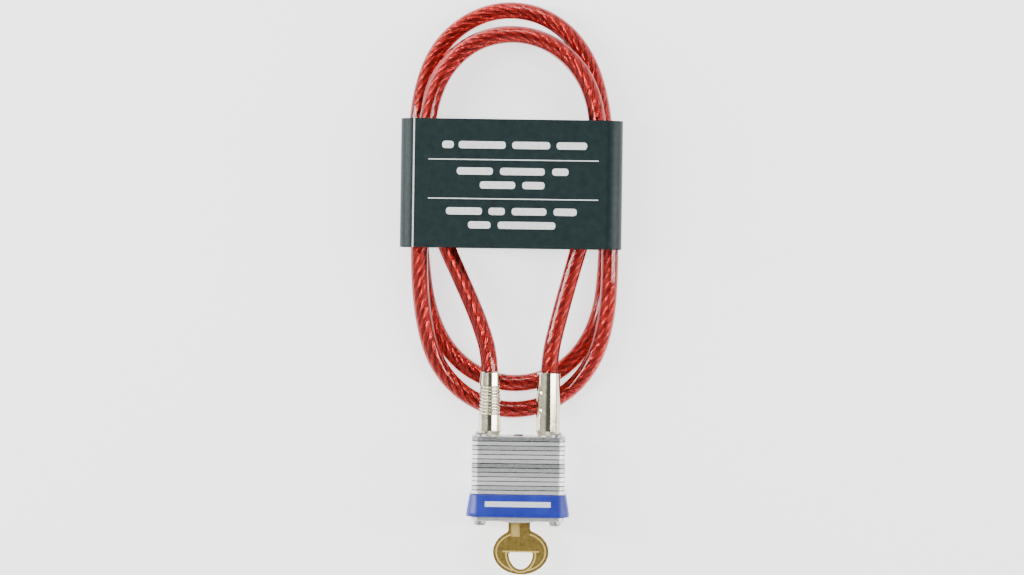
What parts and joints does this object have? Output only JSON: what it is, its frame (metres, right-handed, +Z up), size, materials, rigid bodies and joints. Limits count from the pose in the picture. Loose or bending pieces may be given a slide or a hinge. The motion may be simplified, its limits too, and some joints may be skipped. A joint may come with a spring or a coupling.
{
  "type": "cable luggage lock",
  "caption": "Laminated padlock body with key and a coiled, jacketed steel cable whose two ferruled ends plug into its top, held by a card sleeve.",
  "frame": {"origin": "middle of the lock's footprint on the surface it lies on: halfway from the key's tip to the ferrules' tops, on the body's centre line, at the surface", "axes": "+Y from the key through the body towards the cable, +Z up from the surface through the body's front, +X across the body to the toe ferrule"},
  "size_m": [0.0713, 0.1847, 0.021],
  "materials": {
    "plate_steel": "brushed zinc-plated steel",
    "rivet_steel": "plated, lightly worn",
    "dark_steel": "dark oiled steel",
    "face_steel": "plated, satin",
    "blue_plastic": "satin moulded plastic",
    "brass": "machined",
    "key_brass": "stamped, matt field with polished border",
    "spring_steel": "drawn wire",
    "nickel": "bright nickel plating, slightly warm",
    "wire_steel": "twisted galvanised wire",
    "red_vinyl": "translucent glossy vinyl",
    "card": "printed card with a satin varnish"
  },
  "bodies": {
    "lock_body": {"lamination_01": "plate_steel", "lamination_02": "plate_steel", "lamination_03": "plate_steel", "lamination_04": "plate_steel", "lamination_05": "plate_steel", "lamination_06": "plate_steel", "lamination_07": "plate_steel", "lamination_08": "plate_steel", "lamination_09": "plate_steel", "lamination_10": "plate_steel", "lamination_11": "plate_steel", "lamination_12": "plate_steel", "lamination_13": "plate_steel", "lamination_14": "plate_steel", "lamination_15": "plate_steel", "lamination_16": "plate_steel", "lamination_17": "plate_steel", "lamination_18": "plate_steel", "lamination_19": "plate_steel", "corner_rivets": "rivet_steel", "centre_rivet": "dark_steel", "bumper": "blue_plastic", "cylinder_housing": "brass", "cylinder_face_plate": "face_steel", "spring_cover": "brass", "driver_pins": "brass", "pin_springs": "spring_steel", "heel_spring": "spring_steel", "heel_lever_spring": "spring_steel", "toe_lever_spring": "spring_steel", "heel_retainer": "dark_steel"},
    "plug": {"plug": "brass", "cam_driver": "rivet_steel", "key_pins": "brass"},
    "key": {"key": "key_brass"},
    "heel_lever": {"heel_lever": "dark_steel"},
    "toe_lever": {"toe_lever": "dark_steel"},
    "cable": {"heel_ferrule": "nickel", "toe_ferrule": "nickel", "cable_core": "wire_steel", "cable_jacket": "red_vinyl"},
    "sleeve": {"card_sleeve": "card"}
  },
  "joints": [
    {"name": "plug_turn", "type": "hinge", "parent": "lock_body", "child": "plug", "pos_m": [0, 0, 0.0105], "axis": [0, 1, 0], "range_deg": [0, 90], "stiffness_Nm_per_rad": 0.02},
    {"name": "key_slide", "type": "slide", "parent": "plug", "child": "key", "axis": [0, -1, 0], "range_m": [0, 0.022]},
    {"name": "heel_lever_slide", "type": "slide", "parent": "lock_body", "child": "heel_lever", "axis": [1, 0, 0], "range_m": [0, 0.00327], "deforming": ["heel_lever_spring"]},
    {"name": "toe_lever_slide", "type": "slide", "parent": "lock_body", "child": "toe_lever", "axis": [-1, 0, 0], "range_m": [0, 0.00327], "deforming": ["toe_lever_spring"]},
    {"name": "cable_lift", "type": "slide", "parent": "lock_body", "child": "cable", "axis": [0, 1, 0], "range_m": [0, 0.0082]},
    {"name": "sleeve_slide", "type": "slide", "parent": "cable", "child": "sleeve", "axis": [0, 1, 0], "range_m": [0, 0.084]}
  ],
  "couplings": [
    {"joint": "plug_turn", "follows": "cable_lift", "rad_per_m": 191.5},
    {"joint": "heel_lever_slide", "follows": "cable_lift", "ratio": 0.39667},
    {"joint": "toe_lever_slide", "follows": "cable_lift", "ratio": 0.39667}
  ]
}
